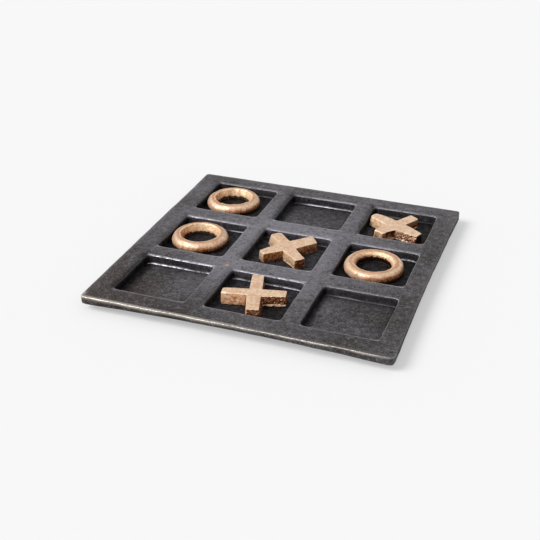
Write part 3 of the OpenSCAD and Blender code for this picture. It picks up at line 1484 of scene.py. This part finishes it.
    def ratings(self) -> dict[str, RateRule]:
        """Gives the rule for each number that the finish reads.

        Returns:
            Rules by the attribute's name; band is a darker line along the crest.
        """
        return {
            "rough_cast": self.roughness,
            # flank paints shade, sunlit paints light on the hole's wall that faces the front
            "flank": self.shaded,
            "band": lambda at, way: hump(23.2, 1.7, at.xy.length / MM) * ease(0.5, 0.9, way.z),
            "upright": lambda at, way: ease(0.1, 0.7, 1 - way.z) * (1 - 0.4 * self.inward(at, way)),
            "sunlit": lambda at, way: self.inward(at, way) * ease(-0.3, 0.5, -way.y),
            "low": self.depth,
        }


@dataclass
class FeltPad(Layout):
    """Four round felt pads under the corner bowls, all in mm."""

    across: float = 20.0
    thick: float = 1.5
    rings: int = 4
    ring_step: float = 2.0

    def make(self, finish: Material) -> None:
        """Models one pad, copies it to the four corners and hands them over.

        Args:
            finish: Material of the felt.
        """
        radius, tall = self.across / 2 * MM, self.thick * MM
        pad = Workpiece(
            "pad_blank",
            lambda: bpy.ops.mesh.primitive_cylinder_add(
                vertices=64, radius=radius, depth=tall, location=(0, 0, tall / 2)
            ),
        )
        pad.pick(Part.EDGES, lambda at, run: abs(run.z) < TINY)
        pad.round_over(0.3 * MM, 2)
        pad.pick(Part.FACES, lambda at, way: abs(way.z) > 0.99)
        for _ in range(self.rings):
            bpy.ops.mesh.inset(thickness=self.ring_step * MM)
        pad.rest()
        pad.apply("SUBSURF", levels=1, render_levels=1)

        def fluff(at: Vector, way: Vector) -> Vector:
            """Roughens the cut felt."""
            spot = at - way * (0.08 + 0.12 * noise.noise(at * 900)) * MM
            return Vector((*spot.xy, clip(spot.z, 0.0, tall)))

        pad.move_points(fluff)
        for row, depth in ((0, "front"), (2, "back")):
            for column, side in ((0, "left"), (2, "right")):
                name = f"felt_pad_{depth}_{side}"
                twin = pad.copy(name + "_cut")
                twin.thing.data.transform(Matrix.Translation((*(self.middle(column, row) * MM), 0)))
                twin.smooth(60)
                twin.hand_over(finish, "felt", "tray", name)
        pad.rest()
        bpy.data.objects.remove(pad.thing)


@dataclass(frozen=True)
class Studio:
    """The floor, the light and the photograph's view."""

    lens: float = 64.71
    sensor: float = 36.0
    eye: tuple[float, float, float] = (0.28441, -0.81387, 0.47721)
    azimuth: float = 0.3537238
    elevation: float = 0.5129539
    roll: float = -0.0021937
    floor_size: float = 12.0
    paper: Colour = shade(250, 250, 250)
    tooth: Colour = shade(238, 238, 238)
    backdrop: Colour = shade(246, 246, 246)
    clean: float = 0.45
    sky: float = 0.95
    ambient: float = 0.47
    key: float = 2.4
    key_angle: float = 34.0
    key_from: tuple[float, float, float] = (-0.59, -0.42, 0.69)

    def camera(self) -> None:
        """Sets up the photograph's view."""
        look = Vector((
            -math.sin(self.azimuth) * math.cos(self.elevation),
            math.cos(self.azimuth) * math.cos(self.elevation),
            -math.sin(self.elevation),
        ))
        right = look.cross(Vector((0, 0, 1))).normalized()
        up = right.cross(look)
        c, s = math.cos(self.roll), math.sin(self.roll)
        turned = Matrix((c * right + s * up, -s * right + c * up, -look)).transposed()
        lens = bpy.data.cameras.new("view")
        lens.lens = self.lens
        lens.sensor_width = self.sensor
        lens.sensor_fit = "HORIZONTAL"
        lens.clip_start = 0.01
        lens.clip_end = 50
        eye = bpy.data.objects.new("view", lens)
        eye.matrix_world = Matrix.Translation(self.eye) @ turned.to_4x4()
        bpy.context.scene.collection.objects.link(eye)
        bpy.context.scene.camera = eye

    def paper_floor(self) -> None:
        """Lays the pale floor, which shows the camera some plain paper and the object's shadow."""
        floor = Workpiece("floor", lambda: bpy.ops.mesh.primitive_plane_add(size=self.floor_size))
        nodes = NodeBench(bpy.data.materials.new("paper_floor"))
        toothed = nodes.grain(0.004, 2.0, 0.55).between(0.3, 0.7) * 0.04
        colour = nodes.layers(self.paper, (toothed, self.tooth))
        matt = {"Specular IOR Level": 0.0, "Base Color": colour, "Roughness": 0.9}
        sheet = nodes.add("ShaderNodeBsdfPrincipled", None, matt).outputs[0]
        plain = nodes.add("ShaderNodeEmission", None, {"Color": self.backdrop, "Strength": 1.0}).outputs[0]
        both = nodes.add("ShaderNodeMixShader", None, {0: nodes.seen() * self.clean, 1: sheet, 2: plain})
        nodes.add("ShaderNodeOutputMaterial", None, {"Surface": both.outputs[0]})
        floor.rest()
        floor.thing.data.materials.append(nodes.owner)

    def light(self) -> None:
        """Lights the set: a soft key from the left and even light all round."""
        nodes = NodeBench(bpy.data.worlds.new("studio"))
        bpy.context.scene.world = nodes.owner
        strength = nodes.seen() * (self.sky - self.ambient) + self.ambient
        sky = nodes.add("ShaderNodeBackground", None, {"Color": (1, 1, 1, 1), "Strength": strength})
        nodes.add("ShaderNodeOutputWorld", None, {"Surface": sky.outputs[0]})
        lamp = bpy.data.lights.new("key", "SUN")
        lamp.energy = self.key
        lamp.angle = math.radians(self.key_angle)
        key = bpy.data.objects.new("key", lamp)
        key.rotation_euler = Vector(self.key_from).to_track_quat("Z", "Y").to_euler()
        bpy.context.scene.collection.objects.link(key)

    def make(self) -> None:
        """Sets up the view, the floor and the light."""
        self.camera()
        self.paper_floor()
        self.light()
        bpy.context.scene.view_settings.view_transform = "Standard"


PIECES: tuple[BrassPiece, ...] = (
    CastCross(
        node="cross_centre",
        at=(0.5, 8.0),
        turn=45.3,
        seed=1.0,
        outline=(
            (30.6, -4.5), (33.0, 10.4), (6.3, 9.9), (7.6, 33.2), (-4.0, 33.4), (-4.6, 9.6),
            (-29.0, 5.5), (-29.0, -3.4), (-7.8, -5.1), (-5.9, -29.2), (3.6, -29.7), (4.9, -6.3),
        ),
        rounded=(Arm.BACK,),
        rough=(Arm.FRONT,),
        flanks=(
            Flank(Arm.BACK, True, 3.2),
            Flank(Arm.FRONT, False, 0.3, 0.6),
            Flank(Arm.LEFT, True, 0.0),
            Flank(Arm.RIGHT, False, 0.3),
        ),
    ),
    CastCross(
        node="cross_front",
        at=(1.0, -88.6),
        turn=15.1,
        seed=5.0,
        outline=(
            (29.6, -5.3), (29.9, 5.4), (6.2, 6.4), (5.8, 33.0), (-4.9, 33.5), (-4.8, 6.7),
            (-30.2, 6.6), (-30.7, -1.9), (-6.4, -3.4), (-4.3, -30.2), (6.6, -30.6), (6.3, -6.3),
        ),
        rough=(Arm.FRONT,),
        flanks=(
            Flank(Arm.LEFT, True, 4.6, 0.0, 0.15),
            Flank(Arm.FRONT, False, 0.7),
            Flank(Arm.FRONT, True, 1.2),
            Flank(Arm.RIGHT, False, 0.2, 1.5, 1.0),
        ),
    ),
    CastCross(
        node="cross_back_right",
        at=(92.4, 92.9),
        turn=61.4,
        seed=9.0,
        outline=(
            (28.0, -5.0), (29.3, 5.9), (7.8, 6.8), (6.2, 34.9), (-3.9, 34.0), (-6.2, 8.8),
            (-25.2, 7.5), (-24.8, -3.0), (-8.9, -7.2), (-5.1, -31.6), (4.9, -30.1), (7.9, -4.9),
        ),
        rounded=(Arm.BACK,),
        flanks=(
            Flank(Arm.BACK, True, 3.0),
            Flank(Arm.RIGHT, False, -0.8, 1.0),
            Flank(Arm.FRONT, False, 0.8, 0.3, 1.3),
        ),
        scoops=(Scoop((-15.3, -5.2), 6.6, 4.6),),
        shadowed_ends=(Arm.FRONT,),
    ),
    CastRing(node="ring_back_left", at=(-96.1, 99.6), seed=2.0, facets=1.0),
    CastRing(node="ring_middle_left", at=(-96.0, 6.2), seed=6.0),
    CastRing(
        node="ring_middle_right",
        at=(90.5, 7.8),
        seed=4.0,
        ridged=1.0,
        crumbly=1.0,
        crest=(
            (29.8, 3.2), (29.6, 5.6), (28.8, 7.9), (27.2, 9.7), (25.0, 10.6), (22.8, 10.8),
            (20.9, 10.4), (19.2, 9.3), (18.0, 7.9), (17.5, 6.3), (17.3, 3.4), (17.0, 0.8),
        ),
    ),
)


def main() -> None:
    """Builds the pieces in order and reports each."""
    logging.basicConfig(level=logging.INFO, format="%(message)s")
    noise.seed_set(NOISE_SEED)
    Studio().make()
    TrayCasting().make(BlackenedCasting().make())
    brass = AntiqueBrass().make()
    for piece in PIECES:
        piece.make(brass)
    FeltPad().make(PressedFelt().make())


if __name__ == "__main__":
    main()
